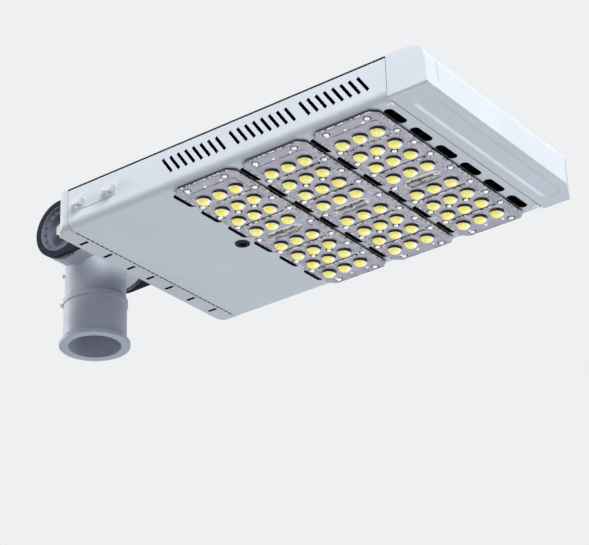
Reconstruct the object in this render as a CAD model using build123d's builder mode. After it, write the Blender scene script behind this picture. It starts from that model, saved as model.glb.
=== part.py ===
"""LED street light head with three lens modules, on an adjustable pole adaptor.

Sizes are in millimetres. The origin is the centre of the pole socket's mouth.
+X runs from the pole to the front of the head, +Z is up, and the head spans Y evenly.
Places on the head are measured from its rear seam (x), its middle (y) and its underside (z).
"""

from build123d import *
from math import atan2, cos, degrees, hypot, pi, radians, sin
import os

# Head housing
head_width = 300.0
head_height = 48.0
rear_room = 141.2
front_margin = 58.8
wall = 2.5
bend_radius = 9.0
top_flange = 14.0
cover_thick = 1.5
cover_seam = 1.0
cover_inset = 2.5

# End caps
cap_wall = 3.0
cap_seam = 0.7
tongue_gap = 0.1
rear_cap_length = 21.5
rear_cap_corner = 18.0
rear_tongue = 3.5
front_cap_length = 47.5
front_cap_round = 20.0
front_cap_lean = 2.5
front_cap_edge = 2.5
front_tongue = 7.0
far_corner_across = 34.0
far_corner_back = 15.5
recess_from_seam = 12.0
recess_width = 24.7
recess_near_margin = 21.0
recess_far_margin = 19.0
recess_depth = 1.2
recess_slope = 3.5
score_margin = 22.0
score_low = 9.0
score_high_margin = 15.0
score_width = 1.6
score_depth = 1.0

# Lens modules
module_names = ("rear", "middle", "front")
module_gap = 9.25
lens_length = 81.0
lens_margin = 6.5
lens_corner = 8.0
lens_rim = 3.0
lens_wall = 2.2
field_inset_x = 9.0
field_inset_y = 14.5
field_corner = 6.0
field_rise = 1.0
field_wall = 2.5
dome_columns = 3
dome_margin = 10.0
dome_row_shares = (0.172, 0.414, 0.633, 0.871)
dome_base = 7.5
dome_bevel = 2.5
dome_height = 4.8
dome_sides = 8
rib_row_shares = (0.295, 0.752)
rib_margin = 4.0
rib_width = 3.0
rib_height = 1.6
spine_margin = 9.5
spine_width = 14.0
spine_height = 2.4
spine_slot_length = 14.0
spine_slot_width = 3.0
spine_slot_offset = 10.0
gasket_thick = 1.2
gasket_inset = 1.0
window_inset_x = 6.0
window_inset_y = 11.5
window_gap = 1.0
board_thick = 1.6
board_drop = 1.0
chip_side = 5.0
chip_height = 0.7
sink_base = 4.0
sink_inset = 0.5
sink_side_gap = 7.5
fin_side_gap = 12.0
fin_pitch = 12.5
fin_thick = 2.0
fin_overhang = 4.0
fin_sink = 0.5
fin_headroom = 2.0

# Openings in the housing
slots_in_row = 6
slot_length = 33.0
slot_width = 10.5
slot_margin = 18.1
vents_in_group = 8
vent_pitch = 10.3
vent_width = 3.6
vent_low = 17.0
vent_high_margin = 12.0
vent_lean = 12.5
vent_group_offset = -47.0
rear_slot_margin = 38.0
rear_slot_shares = (-1.0, -0.647, -0.297, 0.0, 0.297, 0.647, 1.0)
rear_slot_length = 12.0
rear_slot_width = 4.2

# Pole adaptor
socket_bore = 30.5
socket_wall = 6.2
socket_depth = 100.0
lip_width = 4.3
lip_height = 4.0
lip_flare = 5.0
ledge_start = 50.0
ledge_height = 7.0
ledge_step = 1.1
neck_step = 1.1
wire_hole = 12.0
cable_exit = 6.5
cable_exit_rise = 1.0
pivot_rise = 29.0
pivot_to_seam = 94.5
pivot_over_underside = 68.0
barrel_radius = 36.0
barrel_bore = 14.0
journal_gap = 0.3
low_screw_height = 53.5
high_screw_drop = 9.0
set_screw_angle = 217.0
set_screw_stand = 1.8
set_screw_short = 0.5

# Toothed joint
knuckle_half = 63.5
ear_thick = 5.0
ear_opening = 28.5
cup_gap = 0.1
cup_flange = 3.0
cup_rim = 0.9
cup_ledge_depth = 4.0
cup_pocket_depth = 11.5
cup_wall = 3.3
cup_floor = 3.0
cup_neck_step = 3.5
cup_back_gap = 1.5
cup_shoulder_step = 0.4
journal_length = 7.0
cup_ribs = 16
cup_rib_width = 1.2
cup_rib_height = 1.0
teeth = 36
tooth_height = 1.5
tooth_inner_gap = 1.0
tooth_outer_gap = 1.0
tooth_fill = 0.84
tooth_root = 0.2
tooth_clearance = 0.4

# Bolts as shank radius, width across flats and head height
pivot_bolt = (5.0, 16.0, 6.0)
side_bolt = (4.0, 12.0, 6.0)
yoke_bolt = (4.0, 13.0, 5.0)
set_screw = (2.0, 4.6, 1.2)
nut_height_share = 1.2
bolt_tail = 2.0
washer_thick = 1.6
washer_margin = 2.0
bolt_clearance = 0.2

# Carrying frame and yoke
frame_thick = 4.0
frame_low = 10.0
frame_high_margin = 8.0
frame_start = 4.0
frame_arm = 73.0
side_bolt_places = (18.5, 63.5)
side_bolt_height = 26.5
pad_rise = 0.6
pad_margin = 6.5
pad_low = 17.0
pad_high = 35.0
pad_corner = 2.0
yoke_thick = 6.0
yoke_low = 14.0
yoke_high_margin = 4.0
arm_depth = 11.0
yoke_bolt_across = 40.0
yoke_bolt_low_margin = 7.0
yoke_bolt_high_margin = 8.0
boss_radius = 7.0
cable_hole = 9.0

# Rear compartment
bulkhead_thick = 1.0
bulkhead_gap = 0.15
plate_thick = 1.5
plate_start = 14.0
plate_setback = 20.0
plate_side_gap = 15.5
driver_start = 34.0
driver_end = 96.0
driver_side_gap = 29.5
driver_surge_gap = 16.0
driver_headroom = 6.0
driver_foot = 9.0
driver_foot_thick = 2.5
surge_start = 30.0
surge_end = 72.0
surge_width = 32.0
surge_side_gap = 21.5
surge_height = 30.0
terminal_start = 80.0
terminal_end = 104.0
terminal_width = 36.0
terminal_side_gap = 19.5
terminal_height = 17.0
terminal_ways = 5
terminal_hole = 4.0
inner_edge = 1.0
plug_setback = 7.7
plug_across = 1.0
plug_hole = 7.2
plug_rim = 8.3
plug_lip = 7.6
plug_rise = 1.2
plug_dimple = 5.0
plug_dimple_depth = 2.5

# Places worked out from the sizes above: housing and modules
half_width = head_width / 2
inner_half = half_width - wall
tray_top = head_height - cover_thick - cover_seam
under_flange = tray_top - wall
module_pitch = lens_length + module_gap
module_places = [rear_room + lens_length / 2 + i * module_pitch for i in range(len(module_names))]
slot_rows = [rear_room - module_gap / 2 + i * module_pitch for i in range(len(module_names) + 1)]
tray_length = module_places[-1] + front_margin
front_seam = tray_length + cap_seam
front_x = tray_length + front_cap_length
lens_width = head_width - 2 * lens_margin
field_length = lens_length - 2 * field_inset_x
field_width = lens_width - 2 * field_inset_y
window_length = lens_length - 2 * window_inset_x
window_width = lens_width - 2 * window_inset_y
dome_pitch = (field_length - 2 * dome_margin) / (dome_columns - 1)
dome_places = [
    ((column - (dome_columns - 1) / 2) * dome_pitch, side * share * field_width / 2)
    for column in range(dome_columns)
    for share in dome_row_shares
    for side in (-1, 1)
]
rim_face = gasket_thick + lens_rim
field_face = rim_face + field_rise
sink_width = 2 * (inner_half - sink_side_gap)
fin_count = int((sink_width - 2 * fin_side_gap) / fin_pitch) + 1
slot_pitch = (head_width - 2 * slot_margin - slot_length) / (slots_in_row - 1)
slot_places = [(i - (slots_in_row - 1) / 2) * slot_pitch for i in range(slots_in_row)]
vent_high = head_height - vent_high_margin
rear_slot_places = [share * (half_width - rear_slot_margin) for share in rear_slot_shares]

# Adaptor and joint
socket_radius = socket_bore + socket_wall
ledge_radius = socket_radius + ledge_step
neck_radius = socket_radius - neck_step
pivot_height = socket_depth + pivot_rise
underside_height = pivot_height - pivot_over_underside
pivot_axis = Axis((0, 0, pivot_height), (0, 1, 0))
cable_exit_height = socket_depth + cable_exit_rise + cable_exit
cup_body = ear_opening - cup_neck_step
cup_pocket = cup_body - cup_wall
cup_shoulder_radius = barrel_radius - cup_shoulder_step
tooth_inner = cup_body + tooth_inner_gap
tooth_outer = barrel_radius - tooth_outer_gap
cup_shoulder = knuckle_half - ear_thick - cup_flange
barrel_end = cup_shoulder - 2 * tooth_height - tooth_clearance
pocket_face = knuckle_half - cup_pocket_depth
cup_back = pocket_face - cup_floor
barrel_recess = cup_back - cup_back_gap
journal_end = barrel_recess - journal_length

# Frame, yoke and rear compartment
frame_high = head_height - frame_high_margin
frame_face = frame_start + frame_thick
yoke_high = head_height - yoke_high_margin
yoke_back = -rear_cap_length - yoke_thick
yoke_bolt_heights = (yoke_low + yoke_bolt_low_margin, yoke_high - yoke_bolt_high_margin)
cable_hole_height = (yoke_low + yoke_high) / 2
pad_start = side_bolt_places[0] - pad_margin
pad_end = side_bolt_places[1] + pad_margin
bulkhead_x = slot_rows[0] - slot_width / 2 - bulkhead_gap - bulkhead_thick
plate_end = bulkhead_x - plate_setback
plate_half_width = inner_half - plate_side_gap
plate_top = wall + plate_thick
surge_far = inner_half - surge_side_gap
surge_near = surge_far - surge_width
terminal_far = inner_half - terminal_side_gap
terminal_near = terminal_far - terminal_width
driver_near = driver_side_gap - inner_half
driver_far = surge_near - driver_surge_gap
driver_height = under_flange - driver_headroom - plate_top


def level(height):
    """Plane seen from above, x forward and y across, at a height over the underside."""
    return Plane(origin=(pivot_to_seam, 0, underside_height + height), x_dir=(1, 0, 0), z_dir=(0, 0, 1))


def across(place):
    """Plane seen from the -Y side, x forward and y up, at a place across the head."""
    return Plane(origin=(pivot_to_seam, place, underside_height), x_dir=(1, 0, 0), z_dir=(0, -1, 0))


def facing(place):
    """Plane seen from the front, x across and y up, at a distance from the rear seam."""
    return Plane(origin=(pivot_to_seam + place, 0, underside_height), x_dir=(0, 1, 0), z_dir=(1, 0, 0))


def spot(x, y, z, direction):
    """Plane at a place on the head, looking in a direction, for a bolt, washer or hole."""
    return Plane(origin=(pivot_to_seam + x, y, underside_height + z), z_dir=direction)


def pivot_spot(side, distance):
    """Plane square to the pivot at a distance to one side of the middle, looking outwards."""
    return Plane(origin=(0, side * distance, pivot_height), x_dir=(1, 0, 0), z_dir=(0, side, 0))


def save(part, name):
    """Label a finished piece and write its file."""
    part.label = name
    export_step(part, f"parts/{name}.step")


def block(start, end, near, far, low, high):
    """Closed box between six places on the head."""
    with BuildPart() as box:
        with BuildSketch(level(low)):
            with Locations(((start + end) / 2, (near + far) / 2)):
                Rectangle(end - start, far - near)
        extrude(amount=high - low)
    return box.part


def bolts(planes, size, length):
    """Hex bolts with flats up and down: each head stands on its plane, its shank behind it."""
    shank, flats, head = size
    with BuildPart() as group:
        for plane in planes:
            with BuildSketch(plane):
                RegularPolygon(flats / 2, 6, major_radius=False, rotation=30)
            extrude(amount=head)
            with BuildSketch(plane):
                Circle(shank)
            extrude(amount=-length)
    return group.part


def nuts(planes, size):
    """Hex nuts, each standing on a plane."""
    shank, flats, head = size
    with BuildPart() as group:
        for plane in planes:
            with BuildSketch(plane):
                RegularPolygon(flats / 2, 6, major_radius=False, rotation=30)
                Circle(shank, mode=Mode.SUBTRACT)
            extrude(amount=head * nut_height_share)
    return group.part


def washers(planes, size):
    """Flat washers, each standing on a plane."""
    shank, flats, head = size
    with BuildPart() as group:
        for plane in planes:
            with BuildSketch(plane):
                Circle(flats / 2 + washer_margin)
                Circle(shank + bolt_clearance, mode=Mode.SUBTRACT)
            extrude(amount=washer_thick)
    return group.part


def drill(planes, radius, depth):
    """Cut a round hole behind each plane, in the part being built."""
    with Locations(*planes):
        Cylinder(radius, depth, align=(Align.CENTER, Align.CENTER, Align.MAX), mode=Mode.SUBTRACT)


os.makedirs("parts", exist_ok=True)

# Where the fasteners stand
side_bolt_spots = [
    spot(x, side * (half_width + pad_rise), side_bolt_height, (0, side, 0))
    for side in (-1, 1)
    for x in side_bolt_places
]
side_nut_spots = [
    spot(x, side * (inner_half - frame_thick), side_bolt_height, (0, -side, 0))
    for side in (-1, 1)
    for x in side_bolt_places
]
yoke_bolt_spots = [
    spot(yoke_back, side * yoke_bolt_across, z, (-1, 0, 0)) for side in (-1, 1) for z in yoke_bolt_heights
]
yoke_nut_spots = [
    spot(frame_face, side * yoke_bolt_across, z, (1, 0, 0)) for side in (-1, 1) for z in yoke_bolt_heights
]


# Housing tray: bent sides and underside with inward flanges along the top
with BuildPart() as housing_tray:
    with BuildSketch(facing(0)):
        Rectangle(head_width, tray_top, align=(Align.CENTER, Align.MIN))
        fillet(vertices().group_by(Axis.Y)[0], bend_radius)
    extrude(amount=tray_length)
    with BuildSketch(facing(0)):
        with Locations((0, wall)):
            Rectangle(2 * inner_half, under_flange - wall, align=(Align.CENTER, Align.MIN))
        fillet(vertices().group_by(Axis.Y)[0], bend_radius - wall)
    extrude(amount=tray_length, mode=Mode.SUBTRACT)
    with BuildSketch(facing(0)):
        with Locations((0, tray_top)):
            Rectangle(head_width - 2 * top_flange, 4 * wall)
    extrude(amount=tray_length, mode=Mode.SUBTRACT)

    # Pad round the side bolts, on both sides
    for place in (-half_width, half_width + pad_rise):
        with BuildSketch(across(place)):
            with Locations(((pad_start + pad_end) / 2, (pad_low + pad_high) / 2)):
                RectangleRounded(pad_end - pad_start, pad_high - pad_low, pad_corner)
        extrude(amount=pad_rise)
    drill(side_bolt_spots, side_bolt[0] + bolt_clearance, wall + pad_rise)

    # Windows for the modules and rows of air slots between them
    with BuildSketch(level(0)):
        with Locations(*[(x, 0) for x in module_places]):
            Rectangle(window_length, window_width)
        with Locations(*[(x, y) for x in slot_rows for y in slot_places]):
            SlotOverall(slot_length, slot_width, rotation=90)
        with Locations((bulkhead_x - plug_setback, plug_across)):
            Circle(plug_hole)
    extrude(amount=wall, mode=Mode.SUBTRACT)

    # Slanted side vents, a group beside each module
    with BuildSketch(across(0)):
        vent_drop = vent_high - vent_low
        vent_places = [
            (x + vent_group_offset + i * vent_pitch + vent_lean / 2, (vent_low + vent_high) / 2)
            for x in module_places
            for i in range(vents_in_group)
        ]
        with Locations(*vent_places):
            Rectangle(hypot(vent_lean, vent_drop), vent_width, rotation=-degrees(atan2(vent_drop, vent_lean)))
    extrude(amount=head_width, both=True, mode=Mode.SUBTRACT)
save(housing_tray.part, "housing_tray")


# Top cover with a rebate that makes the seam line
with BuildPart() as top_cover:
    with BuildSketch(level(tray_top)):
        with Locations((tray_length / 2, 0)):
            Rectangle(tray_length, head_width - 2 * cover_inset)
    extrude(amount=cover_seam)
    with BuildSketch(level(tray_top + cover_seam)):
        with Locations((tray_length / 2, 0)):
            Rectangle(tray_length, head_width)
    extrude(amount=cover_thick)
save(top_cover.part, "top_cover")


def tongue(start, end):
    """Channel that stands inside an end of the tray, between two places along the head."""
    outer = inner_half - tongue_gap
    upright = (Align.CENTER, Align.MIN)
    with BuildPart() as channel:
        with BuildSketch(facing(start)):
            with Locations((0, wall + tongue_gap)):
                Rectangle(2 * outer, under_flange - wall - 2 * tongue_gap, align=upright)
            fillet(vertices().group_by(Axis.Y)[0], bend_radius - wall)
            with Locations((0, 2 * wall + tongue_gap)):
                Rectangle(2 * (outer - wall), head_height, align=upright, mode=Mode.SUBTRACT)
        extrude(amount=end - start)
    return channel.part


def rear_cap_block(inset):
    """Rear cap's outer form, or its hollow when drawn in by the wall."""
    with BuildPart() as form:
        with BuildSketch(facing(inset - rear_cap_length)):
            with Locations((0, inset)):
                Rectangle(head_width - 2 * inset, head_height - 2 * inset, align=(Align.CENTER, Align.MIN))
            fillet(vertices().group_by(Axis.Y)[0], bend_radius - inset)
        extrude(amount=rear_cap_length - cap_seam - inset)
        with BuildSketch(level(0)):
            with Locations((inset - rear_cap_length, 0)):
                Rectangle(2 * rear_cap_length, head_width - 2 * inset, align=(Align.MIN, Align.CENTER))
            fillet(vertices().group_by(Axis.X)[0], rear_cap_corner - inset)
        extrude(amount=head_height, mode=Mode.INTERSECT)
    return form.part


# Rear end cap: a cast shell with a tongue, drain slots and four bosses for the yoke's bolts
with BuildPart() as rear_end_cap:
    add(rear_cap_block(0))
    add(rear_cap_block(cap_wall), mode=Mode.SUBTRACT)
    add(tongue(-cap_seam - cap_wall, rear_tongue))
    with BuildSketch(facing(-rear_cap_length + cap_wall / 2)):
        with Locations(*[(side * yoke_bolt_across, z) for side in (-1, 1) for z in yoke_bolt_heights]):
            Circle(boss_radius)
    extrude(amount=rear_cap_length - cap_wall / 2 + frame_start)
    drill(yoke_bolt_spots, yoke_bolt[0] + bolt_clearance, frame_start - yoke_back)
    with BuildSketch(level(0)):
        with Locations(*[(-rear_cap_length / 2, y) for y in rear_slot_places]):
            Rectangle(rear_slot_length, rear_slot_width)
    extrude(amount=cap_wall, mode=Mode.SUBTRACT)
    drill([spot(-rear_cap_length, 0, cable_hole_height, (-1, 0, 0))], cable_hole, cap_wall)
save(rear_end_cap.part, "rear_end_cap")


def front_cap_block(inset):
    """Front cap's outer form, or its hollow when drawn in by the wall."""
    with BuildPart() as form:
        with BuildSketch(across(-half_width + inset)):
            with BuildLine():
                Polyline(
                    (front_seam, inset),
                    (front_x - inset, inset),
                    (front_x - front_cap_lean - inset, head_height - inset),
                    (front_seam, head_height - inset),
                    close=True,
                )
            make_face()
            fillet(vertices().group_by(Axis.X)[1], front_cap_round - inset)
        extrude(amount=-(head_width - 2 * inset))
        with BuildSketch(level(0)):
            with BuildLine():
                Polyline(
                    (front_x - inset, half_width - far_corner_across - inset),
                    (front_x - far_corner_back - inset, half_width - inset),
                    (front_x, half_width),
                    (front_x, half_width - far_corner_across - inset),
                    close=True,
                )
            make_face()
        extrude(amount=head_height, mode=Mode.SUBTRACT)
    return form.part


# Front end cap: a cast shell with a tongue into the tray and a long shallow recess below
with BuildPart() as front_end_cap:
    add(front_cap_block(0))
    fillet(edges().filter_by(Axis.X).group_by(Axis.Z)[0], front_cap_edge)
    add(front_cap_block(cap_wall), mode=Mode.SUBTRACT)
    add(tongue(tray_length - front_tongue, front_seam + cap_wall))
    recess_x = tray_length + recess_from_seam + recess_width / 2
    recess_y = (recess_near_margin - recess_far_margin) / 2
    recess_length = head_width - recess_near_margin - recess_far_margin
    for height, slope in ((0, 0), (recess_depth, recess_slope)):
        with BuildSketch(level(height)):
            with Locations((recess_x, recess_y)):
                SlotOverall(recess_length - 2 * slope, recess_width - 2 * slope, rotation=90)
    loft(ruled=True, mode=Mode.SUBTRACT)
    with BuildSketch(facing(front_x)):
        with Locations((score_margin - half_width, (score_low + head_height - score_high_margin) / 2)):
            Rectangle(score_width, head_height - score_high_margin - score_low)
    extrude(amount=-front_cap_lean - score_depth, mode=Mode.SUBTRACT)
save(front_end_cap.part, "front_end_cap")


def lens_plate(x):
    """Moulded lens plate: a rim, a raised field with a dome for each chip, ribs and a spine."""
    with BuildPart() as lens:
        with BuildSketch(level(-gasket_thick)):
            with Locations((x, 0)):
                Rectangle(lens_length, lens_width)
            chamfer(vertices(), lens_corner)
        extrude(amount=-lens_rim)
        with BuildSketch(level(-rim_face)):
            with Locations((x, 0)):
                RectangleRounded(field_length, field_width, field_corner)
        extrude(amount=-field_rise)
        with BuildSketch(level(-gasket_thick)):
            with Locations((x, 0)):
                Rectangle(field_length - 2 * field_wall, field_width - 2 * field_wall)
        extrude(amount=-(lens_rim + field_rise - lens_wall), mode=Mode.SUBTRACT)
        with BuildSketch(level(-field_face)):
            with Locations(*[(x, share * field_width / 2) for share in rib_row_shares]):
                Rectangle(field_length - 2 * rib_margin, rib_width)
            with Locations(*[(x, -share * field_width / 2) for share in rib_row_shares]):
                Rectangle(field_length - 2 * rib_margin, rib_width)
        extrude(amount=-rib_height)
        with BuildSketch(level(-field_face)):
            with Locations((x, 0)):
                SlotOverall(field_length - 2 * spine_margin, spine_width)
            with Locations((x - spine_slot_offset, 0), (x + spine_slot_offset, 0)):
                Rectangle(spine_slot_length, spine_slot_width, mode=Mode.SUBTRACT)
        extrude(amount=-spine_height)
        with BuildSketch(level(-field_face)):
            with Locations(*[(x + a, b) for a, b in dome_places]):
                RegularPolygon(dome_base, dome_sides)
        extrude(amount=-dome_height)
        chamfer(edges().group_by(Axis.Z)[0], dome_bevel)
    return lens.part


def lens_gasket(x):
    """Flat gasket between a lens plate and the tray."""
    with BuildPart() as gasket:
        with BuildSketch(level(-gasket_thick)):
            with Locations((x, 0)):
                Rectangle(lens_length - 2 * gasket_inset, lens_width - 2 * gasket_inset)
            chamfer(vertices(), lens_corner)
            with Locations((x, 0)):
                Rectangle(window_length, window_width, mode=Mode.SUBTRACT)
        extrude(amount=gasket_thick)
    return gasket.part


def heat_sink(x):
    """Finned heat sink: a base on the tray, a foot down through the window and upright fins."""
    with BuildPart() as sink:
        with BuildSketch(level(wall)):
            with Locations((x, 0)):
                Rectangle(lens_length - 2 * sink_inset, sink_width)
        extrude(amount=sink_base)
        with BuildSketch(level(board_thick - board_drop)):
            with Locations((x, 0)):
                Rectangle(window_length - 2 * window_gap, window_width - 2 * window_gap)
        extrude(amount=wall + board_drop - board_thick)
        with BuildSketch(level(wall + sink_base - fin_sink)):
            with Locations((x, 0)):
                with GridLocations(0, fin_pitch, 1, fin_count):
                    Rectangle(lens_length - 2 * sink_inset + 2 * fin_overhang, fin_thick)
        extrude(amount=under_flange - fin_headroom - wall - sink_base + fin_sink)
    return sink.part


def led_chips(x):
    """LED chips on the underside of a board, one behind each dome."""
    with BuildPart() as chips:
        with BuildSketch(level(-board_drop)):
            with Locations(*[(x + a, b) for a, b in dome_places]):
                Rectangle(chip_side, chip_side)
        extrude(amount=-chip_height)
    return chips.part


# Lens modules: sink, board, chips, gasket and lens plate for each place
for module_name, module_x in zip(module_names, module_places):
    board_reach = window_length / 2 - window_gap
    board_half = window_width / 2 - window_gap
    board_start = module_x - board_reach
    board_end = module_x + board_reach
    board = block(board_start, board_end, -board_half, board_half, -board_drop, board_thick - board_drop)
    save(heat_sink(module_x), f"heat_sink_{module_name}")
    save(board, f"led_board_{module_name}")
    save(led_chips(module_x), f"led_chips_{module_name}")
    save(lens_gasket(module_x), f"lens_gasket_{module_name}")
    save(lens_plate(module_x), f"lens_{module_name}")


# Carrying frame inside the housing, its bolts and the yoke behind the rear cap
with BuildPart() as mounting_frame:
    forward = (Align.MIN, Align.CENTER)
    with BuildSketch(level(frame_low)):
        with Locations((frame_start, 0)):
            Rectangle(frame_arm, 2 * inner_half, align=forward)
        with Locations((frame_face, 0)):
            Rectangle(frame_arm, 2 * (inner_half - frame_thick), align=forward, mode=Mode.SUBTRACT)
    extrude(amount=frame_high - frame_low)
    drill(side_bolt_spots, side_bolt[0] + bolt_clearance, pad_rise + wall + frame_thick)
    drill(yoke_nut_spots, yoke_bolt[0] + bolt_clearance, frame_thick)
    drill([spot(frame_face, 0, cable_hole_height, (1, 0, 0))], cable_hole, frame_thick)
save(mounting_frame.part, "mounting_frame")

side_head_spots = [plane.offset(washer_thick) for plane in side_bolt_spots]
side_grip = washer_thick + pad_rise + wall + frame_thick
side_nut_height = side_bolt[2] * nut_height_share
save(washers(side_bolt_spots, side_bolt), "side_washers")
save(bolts(side_head_spots, side_bolt, side_grip + side_nut_height + bolt_tail), "side_bolts")
save(nuts(side_nut_spots, side_bolt), "side_nuts")

yoke_grip = frame_face - yoke_back
yoke_nut_height = yoke_bolt[2] * nut_height_share
save(bolts(yoke_bolt_spots, yoke_bolt, yoke_grip + yoke_nut_height + bolt_tail), "yoke_bolts")
save(nuts(yoke_nut_spots, yoke_bolt), "yoke_nuts")

with BuildPart() as yoke:
    with BuildSketch(facing(yoke_back)):
        with Locations((0, (yoke_low + yoke_high) / 2)):
            Rectangle(2 * knuckle_half, yoke_high - yoke_low)
    extrude(amount=yoke_thick)
    for ear_face in (-knuckle_half + ear_thick, knuckle_half):
        with BuildSketch(across(ear_face)):
            with Locations((-pivot_to_seam, pivot_height - underside_height)):
                Circle(barrel_radius)
            with Locations((yoke_back + yoke_thick / 2, yoke_high - arm_depth / 2)):
                Rectangle(yoke_thick, arm_depth)
            make_hull()
        extrude(amount=ear_thick)
    drill([pivot_spot(1, knuckle_half)], ear_opening, 2 * knuckle_half)
    drill(yoke_bolt_spots, yoke_bolt[0] + bolt_clearance, yoke_thick)
    drill([spot(yoke_back, 0, cable_hole_height, (-1, 0, 0))], cable_hole, yoke_thick)
save(yoke.part, "yoke")


def tooth():
    """One joint tooth standing on z = 0 along +X, as wide as the ring of teeth allows at its inner end."""
    half = pi * tooth_inner / teeth * tooth_fill
    with BuildPart() as ridge:
        with BuildSketch(Plane(origin=(tooth_inner, 0, 0), x_dir=(0, 1, 0), z_dir=(1, 0, 0))):
            with BuildLine():
                Polyline((-half, -tooth_root), (half, -tooth_root), (0, tooth_height), close=True)
            make_face()
        extrude(amount=tooth_outer - tooth_inner)
    return ridge.part


def clamp_cup(side):
    """Toothed cup seated in one ear of the yoke from inside, turning on the barrel's bore."""
    rim = ear_opening - cup_gap
    ledge_face = knuckle_half - cup_ledge_depth
    with BuildPart() as cup:
        with BuildSketch(Plane(origin=(0, 0, pivot_height), x_dir=(0, side, 0), z_dir=(side, 0, 0))):
            with BuildLine():
                Polyline(
                    (knuckle_half, rim),
                    (knuckle_half, rim - cup_rim),
                    (ledge_face, rim - cup_rim),
                    (ledge_face, cup_pocket),
                    (pocket_face, cup_pocket),
                    (pocket_face, pivot_bolt[0] + bolt_clearance),
                    (journal_end, pivot_bolt[0] + bolt_clearance),
                    (journal_end, barrel_bore - journal_gap),
                    (cup_back, barrel_bore - journal_gap),
                    (cup_back, cup_body),
                    (cup_shoulder, cup_body),
                    (cup_shoulder, cup_shoulder_radius),
                    (knuckle_half - ear_thick, cup_shoulder_radius),
                    (knuckle_half - ear_thick, rim),
                    close=True,
                )
            make_face()
        revolve(axis=pivot_axis)
        with Locations(pivot_spot(-side, -cup_shoulder)):
            with PolarLocations(0, teeth):
                add(tooth())
        with Locations(pivot_spot(side, ledge_face)):
            with PolarLocations((cup_pocket + rim) / 2, cup_ribs):
                Box(
                    rim - cup_pocket - cup_rim / 2,
                    cup_rib_width,
                    cup_rib_height,
                    align=(Align.CENTER, Align.CENTER, Align.MIN),
                )
    return cup.part


save(clamp_cup(-1), "clamp_cup_right")
save(clamp_cup(1), "clamp_cup_left")


# Pole adaptor: one casting of socket, neck and toothed barrel
with BuildPart() as pole_adaptor:
    with BuildSketch(Plane.XZ):
        with BuildLine():
            Polyline(
                (0, 0),
                (socket_radius + lip_width, 0),
                (socket_radius + lip_width, lip_height),
                (socket_radius, lip_height + lip_flare),
                (socket_radius, ledge_start),
                (ledge_radius, ledge_start),
                (ledge_radius, ledge_start + ledge_height),
                (neck_radius, ledge_start + ledge_height),
                (neck_radius, pivot_height),
                (0, pivot_height),
                close=True,
            )
        make_face()
    revolve(axis=Axis.Z)
    with BuildSketch(pivot_spot(1, 0)):
        Circle(barrel_radius)
    extrude(amount=barrel_end, both=True)
    for side in (-1, 1):
        with Locations(pivot_spot(side, barrel_end)):
            with PolarLocations(0, teeth, start_angle=180 / teeth):
                add(tooth())
    drill([pivot_spot(1, barrel_end + tooth_height)], barrel_bore, 2 * (barrel_end + tooth_height))
    recess_spots = [pivot_spot(side, barrel_end) for side in (-1, 1)]
    drill(recess_spots, cup_body + cup_gap + journal_gap, barrel_end - barrel_recess)
    mouth = Plane(origin=(0, 0, 0), z_dir=(0, 0, -1))
    drill([mouth], socket_bore, socket_depth)
    drill([mouth], wire_hole, pivot_height)
    drill([Plane(origin=(barrel_radius, 0, cable_exit_height), z_dir=(1, 0, 0))], cable_exit, barrel_radius)
    screw_way = (cos(radians(set_screw_angle)), sin(radians(set_screw_angle)), 0)
    set_screw_seats = ((ledge_radius, low_screw_height), (neck_radius, socket_depth - high_screw_drop))
    for seat_radius, height in set_screw_seats:
        seat = Plane(origin=(screw_way[0] * seat_radius, screw_way[1] * seat_radius, height), z_dir=screw_way)
        drill([seat], set_screw[0], seat_radius - socket_bore + wall)
save(pole_adaptor.part, "pole_adaptor")

with BuildPart() as set_screws:
    for seat_radius, height in set_screw_seats:
        head_radius = seat_radius + set_screw_stand
        head_place = (screw_way[0] * head_radius, screw_way[1] * head_radius, height)
        head_spot = Plane(origin=head_place, z_dir=screw_way)
        add(bolts([head_spot], set_screw, head_radius - socket_bore - set_screw_short))
save(set_screws.part, "set_screws")

# Pivot bolt through both cups, with its washers and nut in the pockets
washer_outside = pocket_face + washer_thick
pivot_nut_height = pivot_bolt[2] * nut_height_share
save(bolts([pivot_spot(-1, washer_outside)], pivot_bolt, 2 * washer_outside + pivot_nut_height), "pivot_bolt")
save(washers([pivot_spot(-1, pocket_face), pivot_spot(1, pocket_face)], pivot_bolt), "pivot_washers")
save(nuts([pivot_spot(1, washer_outside)], pivot_bolt), "pivot_nut")


# Rear compartment: bulkhead, driver on its plate, surge protector, terminals and plug
with BuildPart() as bulkhead:
    with BuildSketch(facing(bulkhead_x)):
        with Locations((0, wall)):
            Rectangle(2 * inner_half, under_flange - wall, align=(Align.CENTER, Align.MIN))
        fillet(vertices().group_by(Axis.Y)[0], bend_radius - wall)
        with Locations((0, cable_hole_height)):
            Circle(cable_hole, mode=Mode.SUBTRACT)
    extrude(amount=bulkhead_thick)
save(bulkhead.part, "bulkhead")

save(block(plate_start, plate_end, -plate_half_width, plate_half_width, wall, plate_top), "driver_plate")

with BuildPart() as led_driver:
    add(block(driver_start, driver_end, driver_near, driver_far, plate_top, plate_top + driver_height))
    chamfer(edges().group_by(Axis.Z)[-1], inner_edge)
    add(
        block(
            driver_start,
            driver_end,
            driver_near - driver_foot,
            driver_far + driver_foot,
            plate_top,
            plate_top + driver_foot_thick,
        )
    )
save(led_driver.part, "led_driver")

with BuildPart() as surge_protector:
    add(block(surge_start, surge_end, surge_near, surge_far, plate_top, plate_top + surge_height))
    chamfer(edges().group_by(Axis.Z)[-1], inner_edge)
save(surge_protector.part, "surge_protector")

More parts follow.
